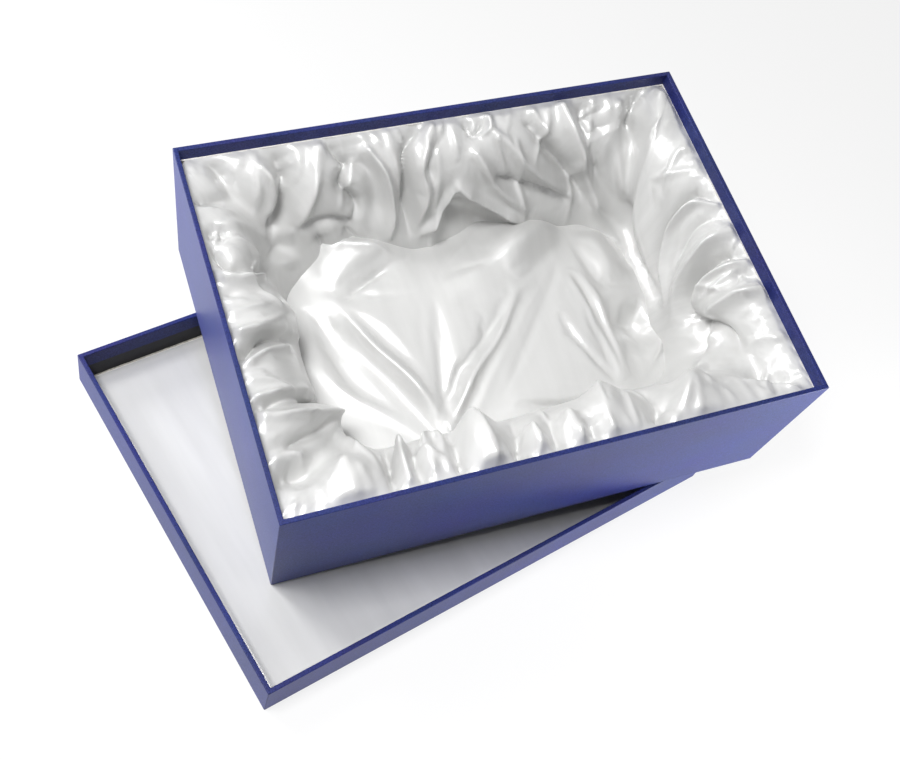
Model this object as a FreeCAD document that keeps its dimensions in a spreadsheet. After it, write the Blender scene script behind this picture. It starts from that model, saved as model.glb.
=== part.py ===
"""Satin-lined presentation box: a rigid board tray, padded and lined with gathered satin, and its lid.

The lid lies upside down on the table and the open tray is propped on it: one bottom corner of the tray
sits on the lid's padded panel, and two of its bottom edges lie on the lid's rim.
Millimetres and degrees. +Z is up, +X runs along the tray's long side seen from above, and the origin is
the centre of the lid's outer face, which lies on the table.
"""

import FreeCAD, Part
import math
import os
import Sketcher

Vector = FreeCAD.Vector

SIZES = (
    ("tray_length", 340, "tray outside, long side"),
    ("tray_width", 247, "tray outside, short side"),
    ("tray_height", 111, "tray outside, height"),
    ("lid_height", 28, "lid outside, height"),
    ("lid_play", 0.6, "room between tray wall and lid wall when closed"),
    ("board_thick", 2.4, "greyboard of walls, floor and lid top"),
    ("paper_thick", 0.3, "covering paper with its glue"),
    ("edge_round", 0.6, "radius of the paper over the board's edges"),
    ("tray_turn_in", 22, "paper turned over the tray's rim, inside"),
    ("lid_turn_in", 12, "paper turned over the lid's rim, inside"),
    ("stay_leg", 14, "leg of the paper angle inside each corner"),
    ("stay_thick", 0.2, "paper of the corner angles"),
    ("card_thick", 1.0, "card that carries each pad"),
    ("liner_drop", 9, "top of the side linings below the tray's rim"),
    ("wad_foot", 37, "side wadding, thickness at the floor"),
    ("wad_belly", 37, "side wadding, thickness at its belly"),
    ("wad_shoulder", 28, "side wadding, thickness at its shoulder"),
    ("wad_top", 1.0, "side wadding, thickness at its top edge"),
    ("belly_level", 40, "height of the belly above the foot of the lining"),
    ("shoulder_drop", 26, "height of the shoulder below the top of the lining"),
    ("pad_play", 0.3, "room between pads that meet at a mitre"),
    ("satin_thick", 0.4, "satin with its backing"),
    ("satin_play", 0.3, "room between satin and the wadding under it"),
    ("fold_rise", 7, "height of a gathered fold at the belly"),
    ("long_folds", 8, "gathered folds on a long side, count"),
    ("short_folds", 6, "gathered folds on a short side, count"),
    ("floor_edge", 5, "floor wadding, thickness at its edge"),
    ("floor_crown", 8, "rise of the floor wadding to its middle"),
    ("floor_draw", 5, "how far the floor pad's long sides draw in"),
    ("floor_folds", 4, "broad folds of the floor satin, count"),
    ("floor_rise", 3, "height of a floor fold"),
    ("lid_pad_play", 1.5, "room between the lid's pad and its walls"),
    ("lid_edge", 1.2, "lid wadding, thickness at its edge"),
    ("lid_crown", 1.6, "rise of the lid wadding to its middle"),
    ("lid_draw", 1.0, "how far the lid pad's long sides draw in"),
    ("lid_angle", 13.76, "degrees from the tray's long side to the lid's"),
    ("corner_along", 39, "tray's low corner, from the lid's short side"),
    ("corner_across", 64.2, "tray's low corner, from the lid's long side"),
    ("seat_play", 0.3, "room under the tray where it lies on the lid"),
)

SIDES = ("front", "right", "back", "left")

os.makedirs("parts", exist_ok=True)
doc = FreeCAD.newDocument("satin_lined_box")
sheet = doc.addObject("Spreadsheet::Sheet", "sizes")
for row, (alias, number, meaning) in enumerate(SIZES, start=1):
    sheet.set(f"A{row}", meaning)
    sheet.set(f"B{row}", str(number))
    sheet.setAlias(f"B{row}", alias)
doc.recompute()

# Formulas that several pieces share, for binding to the sheet.
PAPER = "sizes.paper_thick"
BOARD = "sizes.board_thick"
WALL = f"({BOARD} + 2 * {PAPER})"
BOARD_TOP = f"({PAPER} + {BOARD})"
LID_LENGTH = f"(sizes.tray_length + 2 * (sizes.lid_play + {WALL}))"
LID_WIDTH = f"(sizes.tray_width + 2 * (sizes.lid_play + {WALL}))"
TRAY = ("sizes.tray_length", "sizes.tray_width", "sizes.tray_height", "sizes.tray_turn_in")
LID = (LID_LENGTH, LID_WIDTH, "sizes.lid_height", "sizes.lid_turn_in")

nodes = []


def size(alias):
    """The number in the sheet under this alias."""
    return float(sheet.get(alias))


def keep(piece, label):
    """Name a finished piece and put it on the list of pieces."""
    piece.Label = label
    nodes.append(piece)
    return piece


def rectangle(length, width, inset):
    """Corners of a rectangle set in from a length by width outline, from the front left one round."""
    far_x = f"{length} - {inset}"
    far_y = f"{width} - {inset}"
    return [(inset, inset), (far_x, inset), (far_x, far_y), (inset, far_y)]


def outline_sketch(body, name, outlines, level):
    """A level sketch of closed outlines whose every corner is bound to the sheet."""
    sketch = body.newObject("Sketcher::SketchObject", name)
    plane = [p for p in body.Origin.OriginFeatures if p.Role == "XY_Plane"][0]
    sketch.AttachmentSupport = (plane, [""])
    sketch.MapMode = "FlatFace"
    sketch.setExpression("AttachmentOffset.Base.z", level)
    for ring, corners in enumerate(outlines):
        first = sketch.GeometryCount
        count = len(corners)
        turns = [2 * math.pi * i / count for i in range(count)]
        seeds = [Vector(math.cos(a), math.sin(a), 0) * (ring + 1) for a in turns]
        for i in range(count):
            sketch.addGeometry(Part.LineSegment(seeds[i], seeds[(i + 1) % count]))
        for i, (x, y) in enumerate(corners):
            after = first + (i + 1) % count
            sketch.addConstraint(Sketcher.Constraint("Coincident", first + i, 2, after, 1))
            at_x = sketch.addConstraint(Sketcher.Constraint("DistanceX", -1, 1, first + i, 1, seeds[i].x))
            at_y = sketch.addConstraint(Sketcher.Constraint("DistanceY", -1, 1, first + i, 1, seeds[i].y))
            sketch.setExpression(f"Constraints[{at_x}]", x)
            sketch.setExpression(f"Constraints[{at_y}]", y)
    return sketch


def sheet_piece(label, corners, base, thick):
    """A flat or upright piece cut from board or card: one outline, padded upwards."""
    body = doc.addObject("PartDesign::Body", label)
    sketch = outline_sketch(body, f"{label}_outline", [corners], base)
    pad = body.newObject("PartDesign::Pad", f"{label}_pad")
    pad.Profile = sketch
    pad.setExpression("Length", thick)
    return keep(body, label)


def wall_pieces(labels, length, width, inset, thick, base, height):
    """Four upright pieces round a rectangle, mitred where they meet."""
    outer = rectangle(length, width, inset)
    inner = rectangle(length, width, f"({inset} + {thick})")
    pieces = []
    for i, label in enumerate(labels):
        j = (i + 1) % len(SIDES)
        pieces.append(sheet_piece(label, [outer[i], outer[j], inner[j], inner[i]], base, height))
    return pieces


def pocket(body, name, outlines, level, depth, upwards=False):
    """Cut outlines down, or up, from a level, and check that the cut removes material."""
    doc.recompute()
    before = body.Shape.Volume
    cut = body.newObject("PartDesign::Pocket", name)
    cut.Profile = outline_sketch(body, f"{name}_outline", outlines, level)
    cut.setExpression("Length", depth)
    cut.Reversed = upwards
    doc.recompute()
    if body.Shape.Volume >= before:
        raise RuntimeError(f"{name} cuts nothing")
    return cut


def wrap(label, length, width, height, turn_in):
    """Covering paper of a tray or lid: outside skin, rolled over the rim and turned down inside.

    The slot between the two skins holds the wall boards.
    """
    body = doc.addObject("PartDesign::Body", label)
    block = body.newObject("PartDesign::Pad", f"{label}_block")
    block.Profile = outline_sketch(body, f"{label}_plan", [rectangle(length, width, "0")], "0")
    block.setExpression("Length", height)
    mouth = rectangle(length, width, WALL)
    skin = rectangle(length, width, PAPER)
    turned = rectangle(length, width, BOARD_TOP)
    hem = f"{height} - {turn_in}"
    pocket(body, f"{label}_mouth", [mouth], height, f"{height} - {PAPER}")
    pocket(body, f"{label}_room", [skin], hem, f"{hem} - {PAPER}")
    slot = pocket(body, f"{label}_slot", [skin, turned], hem, f"{turn_in} - {PAPER}", upwards=True)
    rounded = body.newObject("PartDesign::Fillet", f"{label}_round")
    rounded.Base = (slot, outside_edges(slot.Shape))
    rounded.setExpression("Radius", "sizes.edge_round")
    return keep(body, label)


def outside_edges(shape):
    """Names of the edges a hand can touch: the outer box edges and both edges of the rim."""
    box = shape.BoundBox
    wall = size("board_thick") + 2 * size("paper_thick")

    def near(a, b):
        return abs(a - b) < size("paper_thick") / 2

    names = []
    for i, edge in enumerate(shape.Edges, start=1):
        ends = [v.Point for v in edge.Vertexes]
        outer = [
            (near(p.x, box.XMin) or near(p.x, box.XMax)) and (near(p.y, box.YMin) or near(p.y, box.YMax))
            for p in ends
        ]
        mouth = [
            near(p.z, box.ZMax)
            and (near(p.x, box.XMin + wall) or near(p.x, box.XMax - wall))
            and (near(p.y, box.YMin + wall) or near(p.y, box.YMax - wall))
            for p in ends
        ]
        if all(outer) or all(mouth):
            names.append(f"Edge{i}")
    return names


def corner_stays(label, length, width, top):
    """A thin paper angle pasted inside each corner of the boards, under the turned-in paper."""
    leg = "sizes.stay_leg"
    thick = "sizes.stay_thick"
    angles = []
    for number, (right, back) in enumerate(((0, 0), (1, 0), (1, 1), (0, 1)), start=1):
        boxes = []
        for name, shift in (("leaf", "0"), ("cut", thick)):
            box = doc.addObject("Part::Box", f"{label}_{name}_{number}")
            box.setExpression("Length", leg)
            box.setExpression("Width", leg)
            box.setExpression("Height", f"{top} - {BOARD_TOP}")
            near_side = f"{BOARD_TOP} + {shift}"
            x = f"{length} - {leg} - ({near_side})" if right else near_side
            y = f"{width} - {leg} - ({near_side})" if back else near_side
            box.setExpression("Placement.Base.x", x)
            box.setExpression("Placement.Base.y", y)
            box.setExpression("Placement.Base.z", BOARD_TOP)
            boxes.append(box)
        angle = doc.addObject("Part::Cut", f"{label}_angle_{number}")
        angle.Base, angle.Tool = boxes
        angles.append(angle)
    group = doc.addObject("Part::Compound", label)
    group.Links = angles
    return keep(group, label)


def soft_piece(label, shape):
    """A padded or draped piece whose form is worked out from the sheet in this file."""
    piece = doc.addObject("Part::Feature", label)
    piece.Shape = shape
    return keep(piece, label)


def closed_wire(corners, arcs):
    """Lines through the corners in turn, then arcs given as start, crest and end."""
    edges = [Part.LineSegment(a, b).toShape() for a, b in zip(corners, corners[1:])]
    edges += [Part.Arc(*points).toShape() for points in arcs]
    return Part.Wire(edges)


def gathers(count, start, end, depth, rise, phase):
    """Points of a row of uneven gathered folds from start to end: valley, crest and valley of each.

    The valleys sway from an even spacing and the crests differ, as gathered satin does.
    """
    sway = 0.22
    unevenness = 0.3
    width = (end - start) / count
    valleys = [start + width * (i + sway * math.sin(2.3 * i + phase)) for i in range(count + 1)]
    valleys[0], valleys[-1] = start, end
    folds = []
    for i in range(count):
        crest = depth + rise * (1 - unevenness + unevenness * math.sin(1.7 * i + 2 * phase))
        middle = (valleys[i] + valleys[i + 1]) / 2
        folds.append(((valleys[i], depth), (middle, crest), (valleys[i + 1], depth)))
    return folds


def side_stations(foot):
    """Levels of a side pad: height, wadding thickness there, and its share of the fold's height."""
    top = size("tray_height") - size("liner_drop")
    return (
        (foot, size("wad_foot"), 0.7),
        (foot + size("belly_level"), size("wad_belly"), 1.0),
        (top - size("shoulder_drop"), size("wad_shoulder"), 0.9),
        (top, size("wad_top"), 0.25),
    )


def side_pads(inset, foot):
    """Wadding and gathered satin of the four sides, mitred at the corners of the tray."""
    length, width = size("tray_length"), size("tray_width")
    ways = (Vector(1, 0, 0), Vector(0, 1, 0), Vector(-1, 0, 0), Vector(0, -1, 0))
    starts = ((inset, inset), (length - inset, inset), (length - inset, width - inset), (inset, width - inset))
    for number, side in enumerate(SIDES):
        along = ways[number]
        inward = ways[(number + 1) % len(SIDES)]
        start = Vector(*starts[number], 0)
        run = (width if number % 2 else length) - 2 * inset
        count = int(size("short_folds") if number % 2 else size("long_folds"))
        wads, satins = [], []
        for level, (height, thick, share) in enumerate(side_stations(foot)):

            def spot(across, depth):
                return start + along * across + inward * depth + Vector(0, 0, height)

            def mitred(depth):
                end = depth + size("pad_play")
                return end, run - end

            back, front = mitred(0), mitred(thick)
            corners = ((back[0], 0), (front[0], thick), (front[1], thick), (back[1], 0), (back[0], 0))
            wads.append(closed_wire([spot(*c) for c in corners], []))
            under = thick + size("satin_play")
            over = under + size("satin_thick")
            inner, outer = mitred(under), mitred(over)
            corners = ((outer[1], over), (inner[1], under), (inner[0], under), (outer[0], over))
            folds = gathers(count, *outer, over, size("fold_rise") * share, number + 0.6 * level)
            arcs = [[spot(*p) for p in fold] for fold in folds]
            satins.append(closed_wire([spot(*c) for c in corners], arcs))
        soft_piece(f"{side}_wadding", Part.makeLoft(wads, True))
        soft_piece(f"{side}_satin", Part.makeLoft(satins, True))


def cushion(low, high, base, edge, crown, draw, folds=1, rise=0.0, grow=0.0):
    """A crowned pad on a level base, its long sides drawn in, its top in broad folds along X.

    grow makes it larger all round and on top, for a cover or the hollow in a cover.
    """
    sections = []
    length = high.x - low.x
    for share, fullness in ((0, 0.3), (0.16, 0.75), (0.5, 1.0), (0.84, 0.75), (1, 0.3)):
        x = low.x - grow + share * (length + 2 * grow)
        pulled = draw * math.sin(math.pi * share) - grow
        near_y, far_y = low.y + pulled, high.y - pulled
        shoulder = base + edge + grow
        height = crown * fullness

        def top(y):
            off_middle = (2 * y - near_y - far_y) / (far_y - near_y)
            return shoulder + height * (1 - off_middle**2)

        valleys = [near_y + (far_y - near_y) * i / folds for i in range(folds + 1)]
        arcs = []
        for a, b in zip(valleys, valleys[1:]):
            middle = (a + b) / 2
            crest = Vector(x, middle, top(middle) + rise * fullness)
            arcs.append((Vector(x, a, top(a)), crest, Vector(x, b, top(b))))
        corners = (
            Vector(x, far_y, shoulder),
            Vector(x, far_y, base),
            Vector(x, near_y, base),
            Vector(x, near_y, shoulder),
        )
        sections.append(closed_wire(corners, arcs))
    return Part.makeLoft(sections, True)


def covered_pad(prefix, low, high, base, edge, crown, draw, folds=1, rise=0.0, apron=0.0):
    """A wadding cushion and the satin drawn over its top and sides, with a flat apron round it."""
    play = size("satin_play")
    thick = size("satin_thick")
    wadding = cushion(low, high, base, edge, crown, draw)
    hollow = cushion(low, high, base - thick, edge + thick, crown, draw, grow=play)
    satin = cushion(low, high, base, edge, crown, draw, folds, rise, grow=play + thick)
    if apron:
        spread = high - low + Vector(2 * apron, 2 * apron, 0)
        corner = Vector(low.x - apron, low.y - apron, base)
        satin = satin.fuse(Part.makeBox(spread.x, spread.y, thick, corner))
    satin = satin.cut(hollow)
    return soft_piece(f"{prefix}_wadding", wadding), soft_piece(f"{prefix}_satin", satin)


def lid_placement():
    """The lid upside down on the table, its centre at the origin, turned under the tray."""
    turn = FreeCAD.Rotation(Vector(0, 0, 1), size("lid_angle"))
    centre = Vector(lid_length / 2, lid_width / 2, 0)
    return FreeCAD.Placement(turn.multVec(centre) * -1, turn)


def tray_placement(place, pad):
    """The tray propped on the upturned lid: low corner on the lid's pad, two bottom edges on its rim.

    The front bottom edge lies across the lid's front rim, and the left bottom edge across its back rim.
    """
    turn = math.radians(size("lid_angle"))
    corner = Vector(size("corner_along"), size("corner_across"), 0)
    plumb = Part.makeLine(corner, corner + Vector(0, 0, size("lid_height")))
    corner.z = max(v.Z for v in plumb.common(pad).Vertexes) + size("seat_play")
    climb = size("lid_height") + size("seat_play") - corner.z
    to_front_rim = (corner.y - wall) / math.sin(turn)
    long_tilt = math.atan(climb / to_front_rim)
    short_tilt = long_tilt
    for _ in range(20):
        heading = math.acos(-math.tan(long_tilt) * math.tan(short_tilt))
        to_back_rim = (lid_width - wall - corner.y) / math.sin(heading - turn)
        short_tilt = math.atan(climb / to_back_rim)
    along = Vector(math.cos(long_tilt), 0, math.sin(long_tilt))
    across = Vector(
        math.cos(short_tilt) * math.cos(heading), math.cos(short_tilt) * math.sin(heading), math.sin(short_tilt)
    )
    turned = FreeCAD.Rotation(along, across, along.cross(across), "ZXY")
    return FreeCAD.Placement(place.multVec(corner), turned)


wall = size("board_thick") + 2 * size("paper_thick")
board_top = size("paper_thick") + size("board_thick")
lid_length = size("tray_length") + 2 * (size("lid_play") + wall)
lid_width = size("tray_width") + 2 * (size("lid_play") + wall)

# Lid: boards, corner angles and paper.
lid_start = len(nodes)
length, width, height, turn_in = LID
sheet_piece("lid_top_board", rectangle(length, width, BOARD_TOP), PAPER, BOARD)
labels = [f"lid_{side}_board" for side in SIDES]
wall_pieces(labels, length, width, PAPER, BOARD, PAPER, f"{height} - 2 * {PAPER}")
corner_stays("lid_corner_stays", length, width, f"{height} - {turn_in}")
wrap("lid_wrap", length, width, height, turn_in)

# Lid: the padded panel glued inside its top.
PANEL = f"({WALL} + sizes.lid_pad_play)"
sheet_piece("lid_pad_card", rectangle(length, width, PANEL), BOARD_TOP, "sizes.card_thick")
margin = wall + size("lid_pad_play") + size("satin_play") + size("satin_thick")
lid_pad_wadding, lid_pad_satin = covered_pad(
    "lid_pad",
    Vector(margin, margin, 0),
    Vector(lid_length - margin, lid_width - margin, 0),
    board_top + size("card_thick"),
    size("lid_edge"),
    size("lid_crown"),
    size("lid_draw"),
)

# Tray: boards, corner angles and paper.
tray_start = len(nodes)
length, width, height, turn_in = TRAY
sheet_piece("tray_floor_board", rectangle(length, width, BOARD_TOP), PAPER, BOARD)
labels = [f"tray_{side}_board" for side in SIDES]
wall_pieces(labels, length, width, PAPER, BOARD, PAPER, f"{height} - 2 * {PAPER}")
corner_stays("tray_corner_stays", length, width, f"{height} - {turn_in}")
wrap("tray_wrap", length, width, height, turn_in)

# Tray: cards that carry the linings, standing on the floor card inside the turned-in paper.
FLOOR_TOP = f"({BOARD_TOP} + sizes.card_thick)"
sheet_piece("floor_card", rectangle(length, width, WALL), BOARD_TOP, "sizes.card_thick")
labels = [f"{side}_liner_card" for side in SIDES]
liner_height = f"{height} - sizes.liner_drop - {FLOOR_TOP}"
wall_pieces(labels, length, width, WALL, "sizes.card_thick", FLOOR_TOP, liner_height)

# Tray: gathered side linings, and between their feet the floor pad, whose satin runs on under them.
liner_face = wall + size("card_thick")
floor_top = board_top + size("card_thick")
side_pads(liner_face, floor_top + size("satin_thick"))
reach = size("wad_foot") + size("fold_rise") + 2 * (size("satin_play") + size("satin_thick"))
nest = liner_face + reach + size("pad_play")
covered_pad(
    "floor",
    Vector(nest, nest, 0),
    Vector(size("tray_length") - nest, size("tray_width") - nest, 0),
    floor_top,
    size("floor_edge"),
    size("floor_crown"),
    size("floor_draw"),
    int(size("floor_folds")),
    size("floor_rise"),
    apron=reach,
)
doc.recompute()

# Put the lid on the table and the tray on the lid.
on_table = lid_placement()
on_lid = tray_placement(on_table, lid_pad_satin.Shape)
for piece in nodes[lid_start:tray_start]:
    piece.Placement = on_table
for piece in nodes[tray_start:]:
    piece.Placement = on_lid
doc.recompute()

# Every object has to be sound before any piece is written.
for item in doc.Objects:
    if "Invalid" in item.State or "Error" in item.State:
        raise RuntimeError(f"{item.Label} failed: {item.State}")
for piece in nodes:
    if piece.Shape.isNull() or not piece.Shape.isValid():
        raise RuntimeError(f"{piece.Label} has no sound shape")
for piece in nodes:
    piece.Shape.exportStep(f"parts/{piece.Label}.step")
    print(f"{piece.Label}: {len(piece.Shape.Solids)} solids, {piece.Shape.Volume / 1000:.2f} cubic cm")
print("tray placement", on_lid)
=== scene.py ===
# %% [markdown]
# A rigid presentation box, lined with gathered white satin. The tray leans on its own lid, which lies
# upside down under it. The boards, the covering paper and the cards come in as finished solids and keep
# their shape. This lesson gives them their finishes and makes what is soft: the wadding, the gathered
# lining and the lid's panel.

# %% Load the fixed frame and keep its box
from math import pi, radians

import bpy
import numpy as np
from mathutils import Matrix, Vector


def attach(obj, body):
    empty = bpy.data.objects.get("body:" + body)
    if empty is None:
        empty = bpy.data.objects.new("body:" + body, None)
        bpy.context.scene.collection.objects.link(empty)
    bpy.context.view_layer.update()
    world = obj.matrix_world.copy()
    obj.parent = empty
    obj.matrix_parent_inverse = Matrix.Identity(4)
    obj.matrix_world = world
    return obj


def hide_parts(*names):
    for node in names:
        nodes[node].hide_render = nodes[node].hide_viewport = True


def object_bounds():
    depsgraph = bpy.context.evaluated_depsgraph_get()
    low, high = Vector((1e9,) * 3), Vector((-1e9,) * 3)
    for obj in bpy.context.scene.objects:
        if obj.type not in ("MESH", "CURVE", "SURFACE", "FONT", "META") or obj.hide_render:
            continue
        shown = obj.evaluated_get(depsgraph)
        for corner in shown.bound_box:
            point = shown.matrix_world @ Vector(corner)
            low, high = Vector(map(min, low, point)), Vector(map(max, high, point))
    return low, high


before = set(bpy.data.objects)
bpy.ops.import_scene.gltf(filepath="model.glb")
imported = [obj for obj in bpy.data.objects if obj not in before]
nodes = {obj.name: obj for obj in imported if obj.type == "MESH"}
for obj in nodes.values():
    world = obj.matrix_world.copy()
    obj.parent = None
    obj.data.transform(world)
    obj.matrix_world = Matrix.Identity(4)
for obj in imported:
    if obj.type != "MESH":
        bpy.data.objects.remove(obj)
cad_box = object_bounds()
scene = bpy.context.scene
MM = 0.001
print("frame nodes:", len(nodes), "box:", [[round(v, 4) for v in corner] for corner in cad_box])

# %% [markdown]
# The tray stands tilted, so its lining is easiest to describe in the tray's own directions: along the
# front, across to the back, and up its walls, in millimetres from the outer front-left corner. Those
# directions are read off the floor board, a plain slab: its longest, middle and shortest spans. The
# covering paper then gives the outer corner and the overall size.

# %% Find the tray's own directions
SIDES = ("front", "right", "back", "left")


def vertex_array(obj):
    """All vertices of a mesh, one row each."""
    coords = np.empty(len(obj.data.vertices) * 3)
    obj.data.vertices.foreach_get("co", coords)
    return coords.reshape(-1, 3)


def slab_axes(node):
    """Directions of a plain slab's longest, middle and shortest span, pointing along x, y and z."""
    spans = np.linalg.eigh(np.cov(vertex_array(nodes[node]).T))[1]
    return np.stack([spans[:, 2 - i] * np.sign(spans[i, 2 - i]) for i in range(3)])


tray_axes = slab_axes("tray_floor_board")
wrap_points = vertex_array(nodes["tray_wrap"]) @ tray_axes.T
tray_corner = wrap_points.min(0)
LENGTH, WIDTH, HEIGHT = (wrap_points.max(0) - tray_corner) / MM
SPANS = {"front": LENGTH, "right": WIDTH, "back": LENGTH, "left": WIDTH}
TRAY_MIDDLE = np.array([LENGTH / 2, WIDTH / 2, 0])
print("tray in mm:", round(LENGTH, 1), round(WIDTH, 1), round(HEIGHT, 1))

# %% [markdown]
# Small helpers go between the tray's own millimetres, in which the lining is worked out, and the frame's
# metres.

# %% Places in the tray


def to_frame(points):
    """Points in the tray's own millimetres, as places in the shared frame in metres."""
    return (np.asarray(points) * MM + tray_corner) @ tray_axes


def to_tray(points):
    """Places in the shared frame in metres, as points in the tray's own millimetres."""
    return (np.asarray(points) @ tray_axes.T - tray_corner) / MM


def wall_place(side, along, inset):
    """Plan place at this distance along a wall and this far in from its outer face."""
    places = {"front": (along, inset), "right": (LENGTH - inset, along),
              "back": (along, WIDTH - inset), "left": (inset, along)}
    return places[side]


print("tray corner in metres:", np.round(to_frame([0, 0, 0]), 4))

# %% [markdown]
# The camera stands over the front-left corner, a little above arm's length away, and looks down into the
# tray. Its place was worked out once from the box's twelve visible corners. The small lens shift only
# keeps the picture's centre where the photograph has it.

# %% Camera
CAMERA_PLACE = (-0.2430, -0.3409, 0.6327)
CAMERA_TURN = (32.963, -11.280, -18.938)
CAMERA_LENS = 44.095
CAMERA_SHIFT = (0.0473, 0.0329)
CAMERA_NEAR = 0.01


def deselect():
    bpy.ops.object.select_all(action="DESELECT")


deselect()
bpy.ops.object.camera_add(location=CAMERA_PLACE, rotation=[radians(turn) for turn in CAMERA_TURN])
camera = bpy.context.object
camera.name = "camera"
camera.data.lens = CAMERA_LENS
camera.data.shift_x, camera.data.shift_y = CAMERA_SHIFT
camera.data.clip_start = CAMERA_NEAR
scene.camera = camera
scene.view_settings.view_transform = "Standard"
print("camera lens:", camera.data.lens)

# %% [markdown]
# Materials share a few small helpers: for a colour in linear light, for a new material, for plain values,
# for a node with its settings and links, and for the stops of a colour ramp.

# %% Material helpers


def colour(hex_code):
    """A colour written as sRGB hex, in linear light."""
    parts = [int(hex_code[i:i + 2], 16) / 255 for i in (1, 3, 5)]
    linear = [p / 12.92 if p <= 0.04045 else ((p + 0.055) / 1.055) ** 2.4 for p in parts]
    return (*linear, 1.0)


def start_material(name):
    """A new material with its node tree and its main shader."""
    material = bpy.data.materials.new(name)
    material.use_nodes = True
    return material, material.node_tree, material.node_tree.nodes["Principled BSDF"]


def set_inputs(node, values):
    """Write plain values into a node's inputs."""
    for key, value in values.items():
        node.inputs[key].default_value = value


def add_node(tree, kind, settings=None, inputs=None, links=None):
    """Add one node, set its options and values, and link its inputs to other sockets."""
    node = tree.nodes.new(kind)
    for key, value in (settings or {}).items():
        setattr(node, key, value)
    set_inputs(node, inputs or {})
    for key, socket in (links or {}).items():
        tree.links.new(socket, node.inputs[key])
    return node


def blend_stops(ramp, stops):
    """Give a colour ramp its stops, as (place, hex colour) pairs."""
    elements = ramp.color_ramp.elements
    while len(elements) < len(stops):
        elements.new(0.5)
    for element, (place, hex_code) in zip(elements, stops):
        element.position = place
        element.color = colour(hex_code)


print("mid grey in linear light:", round(colour("#808080")[0], 3))

# %% [markdown]
# The floor is a plain pale table. A shader mix asks where a ray comes from: rays straight from the
# camera, and rays that a glossy or clear surface sends on, see the floor mostly as white, with the
# object's shadow left in. The light that the floor throws back at the object stays natural.

# %% Floor
FLOOR_SIZE = 6.0
FLOOR_GAP = 0.0002  # keeps the table just clear of the lid's underside
FLOOR_WHITE_SHARE = 0.80


def straight_ray(tree):
    """1 for rays from the camera or sent on by a glossy or clear surface, 0 for diffuse light."""
    rays = add_node(tree, "ShaderNodeLightPath").outputs
    sent_on = add_node(tree, "ShaderNodeMath", {"operation": "MAXIMUM"},
                       links={0: rays["Is Glossy Ray"], 1: rays["Is Transmission Ray"]})
    shown = add_node(tree, "ShaderNodeMath", {"operation": "MAXIMUM"},
                     links={0: rays["Is Camera Ray"], 1: sent_on.outputs[0]})
    return shown.outputs[0]


deselect()
bpy.ops.mesh.primitive_plane_add(size=FLOOR_SIZE, location=(0, 0, cad_box[0][2] - FLOOR_GAP))
floor = bpy.context.object
floor.name = "pale_floor"
bpy.ops.object.transform_apply(location=True, rotation=True, scale=True)
floor_material, tree, shader = start_material("pale_table_laminate")
set_inputs(shader, {"Base Color": colour("#EDEDED"), "Roughness": 0.7})
seen = add_node(tree, "ShaderNodeMath", {"operation": "MULTIPLY"}, {1: FLOOR_WHITE_SHARE},
                {0: straight_ray(tree)})
white = add_node(tree, "ShaderNodeEmission", inputs={"Color": colour("#FFFFFF"), "Strength": 1.0})
mix = add_node(tree, "ShaderNodeMixShader",
               links={0: seen.outputs[0], 1: shader.outputs[0], 2: white.outputs[0]})
tree.links.new(mix.outputs[0], tree.nodes["Material Output"].inputs["Surface"])
floor.data.materials.append(floor_material)
print("floor at z:", round(cad_box[0][2] - FLOOR_GAP, 4))

# %% [markdown]
# The background is plain white for the same rays. For diffuse light it is a dim grey room, so that the
# lamps and not the background model the folds.

# %% Background
WORLD_LEVEL = 0.13

world = bpy.data.worlds.new("studio_white")
scene.world = world
world.use_nodes = True
tree = world.node_tree
level = add_node(tree, "ShaderNodeMapRange", inputs={"To Min": WORLD_LEVEL, "To Max": 1.0},
                 links={"Value": straight_ray(tree)})
backdrop = tree.nodes["Background"]
backdrop.inputs["Color"].default_value = colour("#FFFFFF")
tree.links.new(level.outputs[0], backdrop.inputs["Strength"])
print("world level for diffuse light:", WORLD_LEVEL)

# %% [markdown]
# Four small softboxes. The key and the back lamp hang on the left and rake over the satin, so that each
# fold has a bright and a shaded side. Two weak low lamps lift the right end of the front and the far end
# of the left side, where the covering paper turns pale.

# %% Lamps
LAMP_AIM = Vector((0, 0, 0.05))
LAMPS = (
    # name, place in metres, size in metres, power in watts
    ("softbox_key", (-0.42, -0.10, 0.98), 0.28, 9.6),
    ("softbox_back", (-0.60, 0.50, 0.90), 0.28, 3.5),
    ("softbox_right", (0.42, -0.32, 0.09), 0.14, 2.5),
    ("softbox_left", (-0.44, 0.42, 0.20), 0.16, 2.2),
)
for name, place, size, power in LAMPS:
    aim = (LAMP_AIM - Vector(place)).to_track_quat("-Z", "Y").to_euler()
    bpy.ops.object.light_add(type="AREA", location=place, rotation=aim)
    lamp = bpy.context.object
    lamp.name = name
    lamp.data.size = size
    lamp.data.energy = power
print("lamps:", [name for name, *_ in LAMPS])

# %% [markdown]
# Pearl covering paper: a blue-dyed paper with a thin pearly coating, calendered smooth. To the eye it is
# deep navy where it is seen straight on and greys towards lavender where light grazes it, with a fine
# fibre grain. Sheen gives the pale graze, a speckle just under a millimetre wide gives the grain, and a
# cloudy blotch a few centimetres wide keeps large faces from looking like plastic.

# %% Pearl covering paper
GRAIN_MM = 0.9  # fibres are nearer 0.3 mm; drawn coarser so that they show at this distance
CLOUD_MM = 45.0
CLOUD_SHARE = 0.35


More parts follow.
